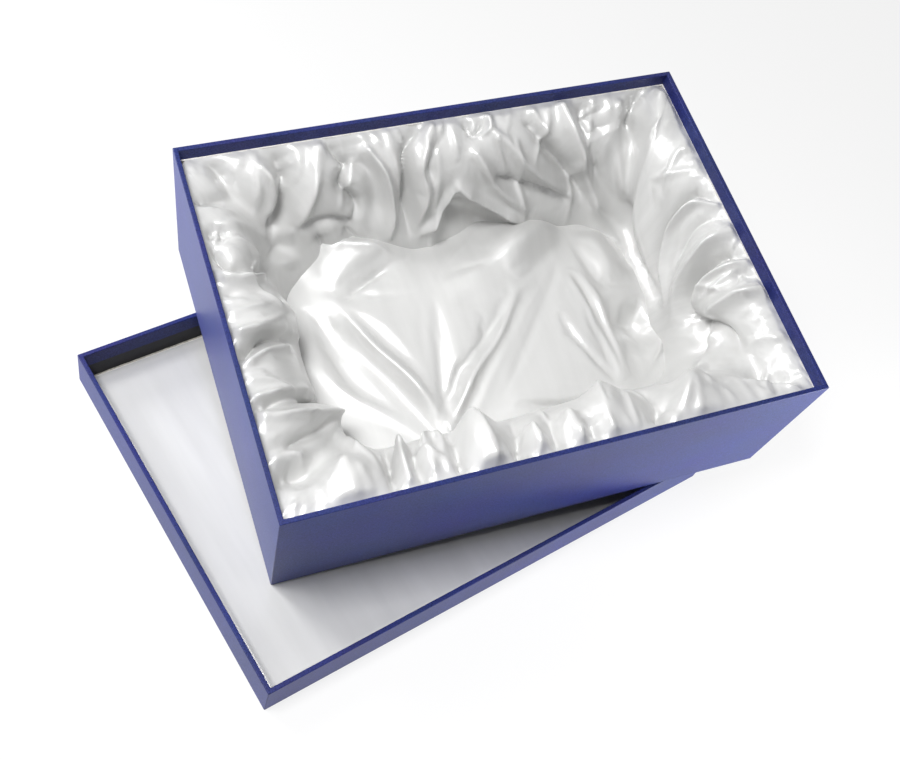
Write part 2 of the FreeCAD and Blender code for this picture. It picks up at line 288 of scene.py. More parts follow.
def pearl_paper():
    material, tree, shader = start_material("pearl_covering_paper")
    place = add_node(tree, "ShaderNodeTexCoord").outputs["Object"]
    grain = add_node(tree, "ShaderNodeTexNoise", inputs={"Scale": 1 / (GRAIN_MM * MM), "Detail": 3.0},
                     links={"Vector": place})
    cloud = add_node(tree, "ShaderNodeTexNoise", inputs={"Scale": 1 / (CLOUD_MM * MM), "Detail": 2.0},
                     links={"Vector": place})
    speckle = add_node(tree, "ShaderNodeValToRGB", links={"Fac": grain.outputs["Fac"]})
    blend_stops(speckle, [(0.3, "#151C4A"), (0.7, "#2F3876")])
    tint = add_node(tree, "ShaderNodeMixRGB", {"blend_type": "SOFT_LIGHT"}, {"Fac": CLOUD_SHARE},
                    {"Color1": speckle.outputs["Color"], "Color2": cloud.outputs["Color"]})
    tree.links.new(tint.outputs["Color"], shader.inputs["Base Color"])
    bump = add_node(tree, "ShaderNodeBump", inputs={"Strength": 0.25, "Distance": 0.2 * MM},
                    links={"Height": grain.outputs["Fac"]})
    tree.links.new(bump.outputs["Normal"], shader.inputs["Normal"])
    set_inputs(shader, {"Roughness": 0.42, "Metallic": 0.0, "IOR": 1.5, "Specular IOR Level": 0.2,
                        "Sheen Weight": 0.18, "Sheen Roughness": 0.35, "Sheen Tint": colour("#9AA4EC")})
    return material


finishes = {"pearl_paper": pearl_paper()}
print("made:", finishes["pearl_paper"].name)

# %% [markdown]
# White satin: a polyester satin weave whose long floats lie side by side, so the cloth has a soft, wide
# gloss that follows every fold. The floats are a faint bump at their real spacing, which only a close
# view shows, as on the real cloth. A slight change of tone goes from one group of threads to the next.
# Both follow the UV map, which is in millimetres of flat cloth, so they run with the folds.

# %% White satin
FLOAT_MM = 0.188496  # spacing of the satin's floats
BANDS_PER_UNIT = 20 / (2 * pi)  # bands that a wave texture of scale 1 draws to a unit
SLUB_MM = 14.0  # length over which the threads change in tone
SLUB_STRETCH = 0.12


def white_satin():
    material, tree, shader = start_material("white_polyester_satin")
    flat = add_node(tree, "ShaderNodeTexCoord").outputs["UV"]
    threads = add_node(tree, "ShaderNodeTexWave", {"bands_direction": "X"},
                       {"Scale": 1 / (FLOAT_MM * BANDS_PER_UNIT), "Distortion": 0.6, "Detail": 1.0},
                       {"Vector": flat})
    stretched = add_node(tree, "ShaderNodeMapping", inputs={"Scale": (1.0, SLUB_STRETCH, 1.0)},
                         links={"Vector": flat})
    slub = add_node(tree, "ShaderNodeTexNoise", inputs={"Scale": 1 / SLUB_MM, "Detail": 3.0},
                    links={"Vector": stretched.outputs["Vector"]})
    tone = add_node(tree, "ShaderNodeValToRGB", links={"Fac": slub.outputs["Fac"]})
    blend_stops(tone, [(0.3, "#CBCBCA"), (0.7, "#D3D3D2")])
    tree.links.new(tone.outputs["Color"], shader.inputs["Base Color"])
    bump = add_node(tree, "ShaderNodeBump", inputs={"Strength": 0.05, "Distance": 0.2 * MM},
                    links={"Height": threads.outputs["Fac"]})
    tree.links.new(bump.outputs["Normal"], shader.inputs["Normal"])
    set_inputs(shader, {"Roughness": 0.28, "Metallic": 0.10, "Specular IOR Level": 0.8,
                        "Sheen Weight": 0.1, "Sheen Roughness": 0.4})
    return material


finishes["satin"] = white_satin()
print("made:", finishes["satin"].name)

# %% [markdown]
# The rest is what a box maker uses where it hardly shows: greyboard for the walls, thin white card under
# the linings, brown gummed paper at the corners, and polyester wadding. Near-black paper on the lid's
# walls is painted shade: it stands for the deep shade inside the lid's walls. Greyboard is pressed from
# waste paper, so it is flecked; card and papers have a finer fibre; wadding is a soft white fleece with a
# cloudy surface. All are one fibre pattern with its own size, colours and roughness.

# %% Boards, cards, papers, near-black paper as painted shade, and wadding
FLECK_HEIGHT_SHARE = 1 / 6  # how far a fleck stands up, as a share of its width
FIBRES = (
    # name, grain in mm, dark fleck, pale ground, roughness
    ("greyboard", 1.6, "#7D7A73", "#A39F96", 0.9),
    ("lining_card", 1.1, "#DAD7CF", "#E9E7E1", 0.8),
    ("gummed_kraft_paper", 1.3, "#9A7A52", "#B8966A", 0.75),
    # painted shade: near-black paper that stands for the deep shade inside the lid's walls
    ("painted_shade_black_paper", 1.2, "#0B0B12", "#14141D", 0.6),
    ("polyester_wadding", 4.0, "#DCDCDA", "#F1F1EF", 1.0),
)


def fibre_material(name, grain_mm, dark, pale, roughness):
    material, tree, shader = start_material(name)
    place = add_node(tree, "ShaderNodeTexCoord").outputs["Object"]
    grain = add_node(tree, "ShaderNodeTexNoise", inputs={"Scale": 1 / (grain_mm * MM), "Detail": 4.0},
                     links={"Vector": place})
    tone = add_node(tree, "ShaderNodeValToRGB", links={"Fac": grain.outputs["Fac"]})
    blend_stops(tone, [(0.35, dark), (0.65, pale)])
    tree.links.new(tone.outputs["Color"], shader.inputs["Base Color"])
    bump = add_node(tree, "ShaderNodeBump",
                    inputs={"Strength": 0.3, "Distance": grain_mm * MM * FLECK_HEIGHT_SHARE},
                    links={"Height": grain.outputs["Fac"]})
    tree.links.new(bump.outputs["Normal"], shader.inputs["Normal"])
    shader.inputs["Roughness"].default_value = roughness
    return material


for fibre in FIBRES:
    finishes[fibre[0]] = fibre_material(*fibre)
print("finishes:", sorted(finishes))

# %% [markdown]
# Each solid gets its finish by the words in its name. The lid's wall boards and corner papers come first
# in the list and get near-black paper: painted shade, for the strip of shade between the turned-in blue
# paper and the padded panel.

# %% Finish the solids
NODE_FINISH = (
    # part of the node's name, finish
    ("wrap", "pearl_paper"),
    # near-black paper on the lid's corner papers and wall boards is painted shade
    ("lid_corner_stays", "painted_shade_black_paper"),
    *[(f"lid_{side}_board", "painted_shade_black_paper") for side in SIDES],
    ("stays", "gummed_kraft_paper"),
    ("card", "lining_card"),
    ("board", "greyboard"),
    ("wadding", "polyester_wadding"),
    ("satin", "satin"),
)
for name, node in nodes.items():
    finish = next(finish for word, finish in NODE_FINISH if word in name)
    node.data.materials.clear()
    node.data.materials.append(finishes[finish])
print("solids finished:", len(nodes))

# %% [markdown]
# The lining of the tray. On the real box a strip of satin, cut longer and deeper than the wall, is
# gathered along its top edge, glued to a card and puffed over wadding; the puffs are tucked against each
# other and against the padded floor. A cloth simulation alone would fold where it likes. So the strip
# starts as a smooth roll of padding with the folds pressed in. The roll bulges from the hem to its belly,
# and its foot flares out over the floor.

# %% The roll of padding that the lining starts from
WALL = 4.0  # paper, board, paper and liner card
HEM_INSET = 3.2  # the gathered edge is folded over the liner card's top
TOP_LEVEL = 102.0
FOOT_LEVEL = 14.0
ROLL_SHAPE = 0.8  # below 1 makes the roll fuller than a quarter circle
ROLL_DEPTH = {"front": 46.0, "right": 28.0, "back": 40.0, "left": 42.0}
FLARE = 0.20  # how much further than its belly the foot runs out over the floor
FLARE_START = 0.55


def roll_share(drop):
    """How far out and how far down a place on the roll is, from the hem at drop 0 to the foot at 1."""
    out = np.sin(drop * pi / 2) ** ROLL_SHAPE
    down = 1 - np.cos(drop * pi / 2) ** ROLL_SHAPE
    flare = np.clip((drop - FLARE_START) / (1 - FLARE_START), 0, 1)
    return out + FLARE * flare ** 2, down


def roll_point(side, along, drop):
    """A point on a side's roll, by its place along that wall and its share of the way down."""
    out, down = roll_share(drop)
    inset = HEM_INSET + (WALL + ROLL_DEPTH[side] - HEM_INSET) * out
    level = TOP_LEVEL + (FOOT_LEVEL - TOP_LEVEL) * down
    return np.array([*wall_place(side, along, inset), level])


print("foot of the front roll:", np.round(roll_point("front", LENGTH / 2, 1.0), 1))

# %% [markdown]
# The folds of the side linings. Their lines were traced in the photograph, turned into places on the
# walls with the camera above, and in part moved where the render asked for it. A crease is a sharp valley
# between two puffs, a ridge is a raised line. Each row holds the fold's points as (side, place along the
# wall in mm, share of the way down), its depth in mm, minus for a ridge, and its width in mm.

# %% Folds of the side linings
B, R, F, L = "back", "right", "front", "left"
SIDE_FOLDS = (
    # back wall, from the left corner
    ([(B, 62, .05), (B, 65, .30), (B, 62, .50), (B, 57, .70), (B, 63, .80)], 13, 10),
    ([(B, 52, .15), (B, 57, .30), (B, 57, .50), (B, 53, .65)], -7, 6),
    ([(B, 90, .05), (B, 81, .45), (B, 68, .72)], -6, 6),
    ([(B, 98, .05), (B, 106, .25), (B, 101, .45), (B, 112, .65), (B, 107, .75)], 9, 6),
    ([(B, 107, .75), (B, 92, .68), (B, 72, .70)], 6, 5),
    ([(B, 112, .15), (B, 122, .40), (B, 126, .65), (B, 120, .80)], 9, 13),
    ([(B, 121, .15), (B, 131, .42), (B, 136, .70), (B, 134, .85)], -8, 5),
    ([(B, 156, .00), (B, 147, .18), (B, 146, .42), (B, 145, .68), (B, 149, .85)], 11, 6),
    ([(B, 166, .02), (B, 155, .37), (B, 158, .60), (B, 153, .83)], -7, 8),
    ([(B, 167, .18), (B, 160, .38), (B, 162, .53)], 4, 7),
    ([(B, 176, .62), (B, 171, .72), (B, 167, .80), (B, 156, .87)], -8, 5),
    ([(B, 189, .04), (B, 193, .18), (B, 202, .08)], 6, 4),
    ([(B, 194, .00), (B, 204, .03), (B, 203, .14), (B, 193, .20)], -4, 4),
    ([(B, 180, .58), (B, 195, .70), (B, 213, .81), (B, 234, .91)], -10, 7),
    ([(B, 176, .76), (B, 196, .86), (B, 215, .95)], 16, 13),
    ([(B, 192, .34), (B, 210, .65), (B, 234, .83)], -7, 7),
    ([(B, 208, .58), (B, 236, .70), (B, 266, .82)], 7, 6),
    ([(B, 209, .22), (B, 234, .55), (B, 268, .80)], -8, 7),
    ([(B, 234, .15), (B, 252, .52), (B, 282, .85)], 10, 7),
    ([(B, 257, .00), (B, 264, .38), (B, 286, .82), (R, 159, .96)], -10, 8),
    ([(B, 275, .00), (B, 272, .24), (B, 283, .65), (R, 178, .91)], 6, 5),
    ([(B, 279, .10), (B, 286, .38)], 7, 11),
    ([(B, 300, .10), (B, 300, .60), (R, 186, .85)], -6, 6),
    ([(B, 317, .02), (B, 307, .35), (B, 310, .72), (R, 184, .83), (R, 157, .92), (R, 123, .94)], 15, 7),
    ([(B, 331, .08), (R, 204, .38), (R, 176, .72), (R, 139, .88)], -9, 16),
    # right wall, from the back corner
    ([(R, 148, .00), (R, 158, .22), (R, 156, .52), (R, 147, .74), (R, 118, .94)], 10, 7),
    ([(R, 143, .04), (R, 151, .29), (R, 148, .55), (R, 135, .73), (R, 110, .87)], -7, 6),
    ([(R, 133, .00), (R, 137, .24), (R, 136, .49), (R, 125, .70)], 4, 6),
    ([(R, 121, .00), (R, 121, .37), (R, 114, .69), (R, 99, .86)], -7, 9),
    ([(R, 104, .00), (R, 109, .25), (R, 110, .50), (R, 104, .69), (R, 89, .82)], 10, 7),
    ([(R, 98, .01), (R, 101, .26), (R, 102, .51), (R, 94, .69), (R, 89, .78)], -7, 6),
    ([(R, 87, .00), (R, 93, .17), (R, 87, .26)], 5, 5),
    ([(R, 75, .00), (R, 80, .32), (R, 83, .67)], -7, 10),
    ([(R, 88, .77), (R, 71, .58), (R, 38, .44), (F, 309, .20)], 8, 6),
    ([(R, 36, .46), (F, 311, .23), (F, 326, .11)], 9, 8),
    ([(R, 70, .63), (R, 56, .78), (F, 254, .17), (F, 240, .01)], -9, 7),
    ([(R, 90, .75), (R, 72, .77), (R, 59, .89), (F, 243, .18)], 12, 8),
    # front wall, from the right corner
    ([(F, 318, .30), (F, 326, .05)], 5, 4),
    ([(F, 302, .20), (F, 316, .14), (F, 328, .02)], -5, 6),
    ([(F, 262, .10), (F, 268, .50)], -8, 18),
    ([(F, 233, .02), (F, 238, .20), (F, 246, .60)], 11, 7),
    ([(F, 200, .10), (F, 212, .45), (F, 226, .55)], -10, 16),
    ([(F, 190, .02), (F, 192, .20)], 7, 6),
    ([(F, 180, .05), (F, 182, .35)], -8, 9),
    ([(F, 167, .02), (F, 171, .25), (F, 176, .50)], 8, 6),
    ([(F, 155, .05), (F, 158, .30)], -8, 9),
    ([(F, 143, .01), (F, 147, .20), (F, 156, .60)], 12, 7),
    ([(F, 125, .05), (F, 128, .40), (F, 134, .65)], -13, 15),
    ([(F, 108, .01), (F, 110, .20), (F, 116, .60)], 11, 6),
    ([(F, 92, .10), (F, 97, .45), (F, 106, .45), (F, 102, .10)], -7, 6),
    ([(F, 84, .02), (F, 86, .30), (F, 92, .60)], 8, 5),
    ([(F, 76, .05), (F, 79, .30), (F, 86, .60)], -9, 6),
    ([(F, 68, .02), (F, 72, .36), (F, 80, .75)], 13, 6),
    ([(F, 44, .05), (F, 48, .40)], -9, 16),
    ([(L, 56, .76), (F, 56, .55), (F, 62, .35)], -8, 7),
    # left wall, from the front corner
    ([(L, 58, .65), (L, 85, .90)], -15, 34),
    ([(L, 138, .40), (L, 150, .85)], -8, 26),
    ([(L, 29, .05), (L, 36, .38), (L, 60, .81)], 13, 8),
    ([(L, 44, .02), (L, 52, .32), (L, 66, .70)], 6, 5),
    ([(L, 40, .02), (L, 43, .35)], -6, 7),
    ([(L, 65, .05), (L, 68, .41), (L, 80, .85)], -7, 7),
    ([(L, 73, .02), (L, 74, .14), (L, 83, .61), (L, 98, .95)], 9, 5),
    ([(L, 78, .02), (L, 80, .18), (L, 90, .60)], -6, 5),
    ([(L, 99, .01), (L, 107, .17), (L, 119, .56)], -8, 6),
    ([(L, 103, .01), (L, 110, .12), (L, 119, .32), (L, 133, .74)], 12, 6),
    ([(L, 118, .02), (L, 124, .35), (L, 136, .80)], -6, 7),
    ([(L, 146, .05), (L, 150, .40)], 4, 5),
    ([(L, 159, .02), (L, 158, .29), (B, 66, .88)], -7, 6),
    ([(L, 178, .05), (L, 164, .20), (L, 175, .60), (B, 64, .81)], 11, 6),
    ([(L, 194, .15), (L, 203, .55), (B, 58, .73)], -7, 6),
    ([(L, 186, .02), (L, 193, .12), (L, 190, .18), (L, 183, .10)], 7, 4),
    ([(L, 212, .02), (L, 216, .35), (B, 50, .70)], 8, 6),
    ([(B, 22, .05), (B, 34, .35), (B, 48, .60)], 9, 7),
    # lower back wall, where the folds run out over the floor
    ([(B, 84, .78), (B, 92, .92)], 6, 8),
    ([(B, 104, .78), (B, 116, .92)], 6, 8),
)
print("traced folds:", len(SIDE_FOLDS))

# %% [markdown]
# A fold is a smooth curve through its few points. It is pressed into a field of heights over the roll: a
# crease falls off sharply to both sides, a ridge has a rounded top, and both fade towards their ends.

# %% Press one fold
LINE_STEP = 2.0  # mm between places on a fold's curve
FOLD_GAIN = 1.5  # creases are pressed deeper than they end up, because the cloth lifts them again
RIDGE_GAIN = 1.15
RIDGE_NARROW = 0.65
RIDGE_ROUNDNESS = 1.5
CREASE_SHARPNESS = 1.25
BROAD = 12  # folds from this width on are broad swells or hollows
CRISP = 0.82  # narrow folds are pressed this much tighter, because the cloth rounds them
REACH_WIDTHS = 5  # a fold acts out to this many widths and the spare mm below
REACH_SPARE = 14
REACH_STRIDE = 6  # every sixth place of the curve is enough to find what is near
END_FADE = 0.35  # share of the fold's length over which it fades
SIDE_ENDS = (0.2, 0.1)  # share of that fade that the two ends leave out
FLOOR_ENDS = (0.0, 0.08)


def smooth_line(points):
    """A smooth curve through a few points, as closely spaced places."""
    points = np.asarray(points, float)
    padded = np.vstack([2 * points[0] - points[1], points, 2 * points[-1] - points[-2]])
    line = []
    for p0, p1, p2, p3 in zip(padded, padded[1:], padded[2:], padded[3:]):
        count = max(2, int(np.linalg.norm(p2 - p1) / LINE_STEP))
        t = np.linspace(0, 1, count, endpoint=False)[:, None]
        line.append(0.5 * (2 * p1 + (p2 - p0) * t + (2 * p0 - 5 * p1 + 4 * p2 - p3) * t ** 2
                           + (3 * p1 - p0 - 3 * p2 + p3) * t ** 3))
    return np.vstack(line + [points[-1:]])


def nearest_on_line(points, line):
    """Each point's distance to a curve, and the share of the curve's length where it is nearest."""
    distance = np.full(len(points), np.inf)
    share = np.zeros(len(points))
    way = np.diff(line, axis=0)
    for i, (start, step) in enumerate(zip(line, way)):
        offset = points - start
        t = np.clip(offset @ step / (step ** 2).sum(), 0, 1)
        gap = np.linalg.norm(offset - t[:, None] * step, axis=1)
        closer = gap < distance
        distance[closer] = gap[closer]
        share[closer] = (i + t[closer]) / len(way)
    return distance, share


def press_fold(height, points, line, depth, width, kept_ends):
    """Press one fold into a height field: a crease where depth is above zero, a ridge where it is below."""
    gaps = np.linalg.norm(points[:, None] - line[None, ::REACH_STRIDE], axis=2)
    near = np.where(gaps.min(axis=1) < REACH_WIDTHS * width + REACH_SPARE)[0]
    distance, share = nearest_on_line(points[near], line)
    tight = width * CRISP if width < BROAD else width
    if depth > 0:
        shape = -depth * FOLD_GAIN * np.exp(-CREASE_SHARPNESS * distance / tight)
    else:
        shape = -depth * RIDGE_GAIN * np.exp(-(distance / tight / RIDGE_NARROW) ** RIDGE_ROUNDNESS)
    fade = np.minimum(share + kept_ends[0], 1 + kept_ends[1] - share) / END_FADE
    height[near] += np.clip(fade, 0, 1) * shape


print("a fold fades over", END_FADE, "of its length")

# %% [markdown]
# Broad swells and hollows go in first and are rounded, so that none leaves an edge. The narrow folds are
# then pressed on top of them and stay crisp.

# %% Press a whole table of folds
ROUNDING_PASSES = 8


def rounded_heights(grid, closed):
    """Round a grid of heights by averaging neighbours; a closed grid meets itself in its first direction."""
    for _ in range(ROUNDING_PASSES):
        spread = np.pad(grid, ((1, 1), (0, 0)), "wrap" if closed else "edge")
        grid = (spread[:-2] + 2 * grid + spread[2:]) / 4
        spread = np.pad(grid, ((0, 0), (1, 1)), "edge")
        grid = (spread[:, :-2] + 2 * grid + spread[:, 2:]) / 4
    return grid


def press_folds(points, grid_shape, folds, kept_ends, closed):
    """Heights over a grid of points after all its folds, each given as (curve, depth, width)."""
    height = np.zeros(len(points))
    for broad in (True, False):
        for line, depth, width in folds:
            if (width >= BROAD) == broad:
                press_fold(height, points, line, depth, width, kept_ends)
        if broad:
            height = rounded_heights(height.reshape(grid_shape), closed).ravel()
    return height


print("broad folds of the sides:", sum(width >= BROAD for _, _, width in SIDE_FOLDS))

# %% [markdown]
# The roll runs round the tray as one closed grid: down each wall from the hem to the foot, and round the
# corners, which are tight at the hem and wide at the foot. Every point keeps its normal, the direction in
# which a fold raises or lowers it.

# %% Lay the roll out as a closed grid
CELL = 2.0  # mm between columns along a wall
ROWS = 56
CORNER_COLUMNS = 18
HEM_RADIUS = 7.0
FOOT_RADIUS = 28.0


def rounded_path(insets, radius):
    """A closed walk round the tray at these insets from its four walls, with rounded corners."""
    low = np.array([insets["left"], insets["front"]])
    high = np.array([LENGTH - insets["right"], WIDTH - insets["back"]])
    centres = [(high[0] - radius, low[1] + radius), (high[0] - radius, high[1] - radius),
               (low[0] + radius, high[1] - radius), (low[0] + radius, low[1] + radius)]
    path = []
    for number in range(len(SIDES)):
        before = np.array(centres[number - 1])
        centre = np.array(centres[number])
        turn = -pi / 2 + number * pi / 2
        outward = radius * np.array([np.cos(turn), np.sin(turn)])
        share = np.linspace(0, 1, straight_counts[number], endpoint=False)[:, None]
        path.append(before + outward + (centre - before) * share)
        angles = turn + np.linspace(0, pi / 2, CORNER_COLUMNS, endpoint=False)[:, None]
        path.append(centre + radius * np.hstack([np.cos(angles), np.sin(angles)]))
    return np.vstack(path)


def grid_normals(points):
    """Unit normals of a grid of points that closes on itself in its first direction."""
    along = np.roll(points, -1, 0) - np.roll(points, 1, 0)
    down = np.gradient(points, axis=1)
    normal = np.cross(along, down)
    return normal / np.linalg.norm(normal, axis=2, keepdims=True)


straight_counts = [int(SPANS[side] / CELL) for side in SIDES]
hem = rounded_path(dict.fromkeys(SIDES, HEM_INSET), HEM_RADIUS)
belly = rounded_path({side: WALL + ROLL_DEPTH[side] for side in SIDES}, FOOT_RADIUS)
row_drops = np.linspace(0, 1, ROWS)
out, down = roll_share(row_drops)
columns = len(hem)
roll = np.empty((columns, ROWS, 3))
roll[..., :2] = hem[:, None] + (belly - hem)[:, None] * out[None, :, None]
roll[..., 2] = TOP_LEVEL + (FOOT_LEVEL - TOP_LEVEL) * down
roll_points = roll.reshape(-1, 3)
roll_normals = grid_normals(roll).reshape(-1, 3)
print("roll:", columns, "columns of", ROWS)

# %% [markdown]
# Between the traced folds the cloth is never smooth. Two kinds of fine ridges are drawn at random with a
# fixed seed: loose gathers that run some way down the puffs and lean either way, and short ones close
# together under the hem, where the cloth is drawn up on its thread.

# %% Fine gathers
LOOSE = {"seed": 7, "margin": 18.0, "top": (-0.5, 0.35), "run": (0.35, 0.8), "lean": 15,
         "rise": (1.5, 3.5), "width": (3.0, 5.0), "step": (12, 32)}
AT_HEM = {"seed": 11, "margin": 10.0, "end": (0.12, 0.32), "lean": 3,
          "rise": (1.0, 2.8), "width": (2.4, 3.8), "step": (6, 14)}
LEAN_HALFWAY = 0.35  # share of its lean that a loose gather has reached halfway down


def loose_gathers():
    """Small ridges that start at the hem or lower down, unevenly spaced, leaning either way."""
    draw = np.random.default_rng(LOOSE["seed"])
    for side in SIDES:
        along = LOOSE["margin"]
        while along < SPANS[side] - LOOSE["margin"]:
            top = max(0.0, draw.uniform(*LOOSE["top"]))
            end = min(1.0, top + draw.uniform(*LOOSE["run"]))
            lean = draw.normal(0, LOOSE["lean"])
            line = [(side, along, top), (side, along + lean * LEAN_HALFWAY, (top + end) / 2),
                    (side, along + lean, end)]
            yield line, -draw.uniform(*LOOSE["rise"]), draw.uniform(*LOOSE["width"])
            along += draw.uniform(*LOOSE["step"])


def hem_gathers():
    """Short fine ridges, close together, where the cloth is gathered on its thread under the hem."""
    draw = np.random.default_rng(AT_HEM["seed"])
    for side in SIDES:
        along = AT_HEM["margin"]
        while along < SPANS[side] - AT_HEM["margin"]:
            end = draw.uniform(*AT_HEM["end"])
            line = [(side, along, 0.0), (side, along + draw.normal(0, AT_HEM["lean"]), end)]
            yield line, -draw.uniform(*AT_HEM["rise"]), draw.uniform(*AT_HEM["width"])
            along += draw.uniform(*AT_HEM["step"])


gathers = [*loose_gathers(), *hem_gathers()]
print("fine gathers:", len(gathers))

# %% [markdown]
# Now the folds go into the roll. They fade out just under the hem, because the hem itself is glued down
# flat.

# %% Press the folds into the roll
HEM_FADE = 0.05  # share of the way down over which the folds fade in


def on_roll(folds):
    """Fold rows with their points turned into a curve on the roll."""
    return [(smooth_line([roll_point(*point) for point in points]), depth, width)
            for points, depth, width in folds]


height = press_folds(roll_points, (columns, ROWS), on_roll(SIDE_FOLDS), SIDE_ENDS, closed=True)
for line, depth, width in on_roll(gathers):
    press_fold(height, roll_points, line, depth, width, SIDE_ENDS)
height *= np.clip(np.tile(row_drops, columns) / HEM_FADE, 0.0, 1.0)
roll_lift = roll_normals * height[:, None]
folded = (roll_points + roll_lift).reshape(columns, ROWS, 3)
print("heights of the folds in mm:", round(height.min(), 1), "to", round(height.max(), 1))

# %% [markdown]
# A sheet of cloth is a grid primitive whose vertices are moved to their places. Its UV map becomes
# millimetres of flat cloth. The closed strip has one column twice; merging doubles joins its ends, and an
# attribute remembers which cell each vertex came from.

# %% Make a sheet from a grid
MERGE_DISTANCE = 1e-6


def move_vertices(obj, places):
    """Put the vertices of a mesh at these places."""
    obj.data.vertices.foreach_set("co", np.asarray(places).ravel())
    obj.data.update()


def in_edit_mode(operator, **settings):
    """Run one edit-mode operator on the whole active mesh."""
    bpy.ops.object.mode_set(mode="EDIT")
    bpy.ops.mesh.select_all(action="SELECT")
    operator(**settings)
    bpy.ops.object.mode_set(mode="OBJECT")


def flat_uv(obj, flat_size):
    """Stretch a grid's UV map, which runs from 0 to 1, to the flat sheet's size in mm."""
    uv = np.empty(len(obj.data.loops) * 2)
    obj.data.uv_layers.active.data.foreach_get("uv", uv)
    stretched = uv.reshape(-1, 2) * np.asarray(flat_size)
    obj.data.uv_layers.active.data.foreach_set("uv", stretched.ravel())


def sheet_object(name, points, flat_size, closed):
    """A grid of points in tray millimetres as a mesh, and the number of each vertex's own cell."""
    across, down = points.shape[:2]
    count = across + 1 if closed else across
    deselect()
    bpy.ops.mesh.primitive_grid_add(x_subdivisions=count - 1, y_subdivisions=down - 1, size=1)
    obj = bpy.context.object
    obj.name = name
    places = np.concatenate([points, points[:1]]) if closed else points
    in_frame = to_frame(places.reshape(-1, 3)).reshape(places.shape)
    move_vertices(obj, in_frame.transpose(1, 0, 2))
    flat_uv(obj, flat_size)
    column, row = np.meshgrid(np.arange(count) % across, np.arange(down), indexing="ij")
    numbers = (column * down + row).T.ravel().astype(np.int32)
    obj.data.attributes.new("cell", "INT", "POINT").data.foreach_set("value", numbers)
    if closed:
        in_edit_mode(bpy.ops.mesh.remove_doubles, threshold=MERGE_DISTANCE)
    bpy.ops.object.shade_smooth()
    cell = np.empty(len(obj.data.vertices), np.int32)
    obj.data.attributes["cell"].data.foreach_get("value", cell)
    return obj, cell


STRIP_FLAT = (1480.0, 150.0)
satin_strip, strip_cell = sheet_object("side_satin_strip", folded, STRIP_FLAT, closed=True)
print("strip vertices:", len(strip_cell))

# %% [markdown]
# The strip then settles as cloth. Its threads are as long as a rest shape says: the roll with softer
# folds, a little larger than the padding, so that there is loose cloth to buckle. Light pressure from
# behind stands for the wadding, and gravity is off, because the padding carries the cloth.

# %% Let cloth settle
SETTLE_FRAMES = 20
REST_SHARE = 0.8  # how much of the pressed folds the cloth keeps by itself
CLOTH = {
    "quality": 6, "mass": 0.05, "air_damping": 3, "pin_stiffness": 1.0,
    "tension_stiffness": 12, "compression_stiffness": 12, "shear_stiffness": 3, "bending_stiffness": 0.1,
    "tension_damping": 8, "compression_damping": 8, "shear_damping": 8, "bending_damping": 0.5,
    "use_pressure": True, "uniform_pressure_force": 6.0, "vertex_group_mass": "held",
}


def rest_shape(points, lift, cell, slack):
    """Where each vertex of a sheet would lie by itself, for cloth cut this much larger than the padding."""
    loose = points + lift * REST_SHARE
    return to_frame((loose[cell] - TRAY_MIDDLE) * slack + TRAY_MIDDLE)


def settle_cloth(obj, rest_points, held):
    """Let a folded sheet settle towards its rest shape; vertices with a held weight of 1 stay put."""
    obj.shape_key_add(name="folded")
    rest = obj.shape_key_add(name="slack")
    rest.data.foreach_set("co", rest_points.ravel())
    group = obj.vertex_groups.new(name="held")
    for weight in np.unique(held[held > 0]):
        group.add(np.where(held == weight)[0].tolist(), float(weight), "REPLACE")
    cloth = obj.modifiers.new("satin", "CLOTH")
    for key, value in CLOTH.items():
        setattr(cloth.settings, key, value)
    cloth.settings.rest_shape_key = rest
    cloth.settings.effector_weights.gravity = 0.0
    cloth.collision_settings.use_collision = False
    cloth.point_cache.frame_end = SETTLE_FRAMES
    for number in range(1, SETTLE_FRAMES + 1):
        scene.frame_set(number)
    deselect()
    obj.select_set(True)
    bpy.context.view_layer.objects.active = obj
    bpy.ops.object.convert(target="MESH")
    scene.frame_set(1)


print("cloth settles over", SETTLE_FRAMES, "frames")

# %% [markdown]
# The hem and the foot are held, and the deepest creases are held in part, as if stitched down.
# Afterwards, cloth that a deep crease has pressed into a card is laid against that card's face, and one
# subdivision rounds the cells.

# %% Settle the strip
STRIP_SLACK = 1.10
HELD_FROM = 5.0  # mm of depth from which a crease is held
HELD_OVER = 8.0  # mm over which the hold grows to its most
HELD_MOST = 0.6
CARD_FACE = 4.6  # inset of the liner cards' satin side
FLOOR_FACE = 7.6  # level of the padded floor card


def keep_inside(obj, free):
    """Lay cloth that a deep crease pressed into a card against that card's face; free vertices stay."""
    places = to_tray(vertex_array(obj))
    low = np.array([CARD_FACE, CARD_FACE, FLOOR_FACE])
    high = np.array([LENGTH - CARD_FACE, WIDTH - CARD_FACE, HEIGHT])
    inside = np.clip(places, low, high)
    inside[free] = places[free]
    moved = np.linalg.norm(inside - places, axis=1)
    move_vertices(obj, to_frame(inside))
    count = int((moved > 0).sum())
    print(obj.name, "laid against a card:", count, "vertices, by up to", round(moved.max(), 1), "mm")


def round_cells(obj):
    """Round the cells of a settled sheet with one applied subdivision."""
    rounding = obj.modifiers.new("rounding", "SUBSURF")
    rounding.levels = rounding.render_levels = 1
    bpy.ops.object.modifier_apply(modifier=rounding.name)


strip_row = strip_cell % ROWS
depth_held = np.clip((-height[strip_cell] - HELD_FROM) / HELD_OVER, 0, 1)
held = np.round(HELD_MOST * depth_held, 1)
held[(strip_row == 0) | (strip_row == ROWS - 1)] = 1.0
settle_cloth(satin_strip, rest_shape(roll_points, roll_lift, strip_cell, STRIP_SLACK), held)
keep_inside(satin_strip, strip_row == 0)

# %% [markdown]
# The strip settles in one piece so that its folds run on round the corners, but the real lining is four
# lengths of satin, one to a card. The settled strip is parted in the middle of each corner. Every part
# keeps the shading of the whole strip along its cut edge, so no seam shows where the cloth is tucked
# together.

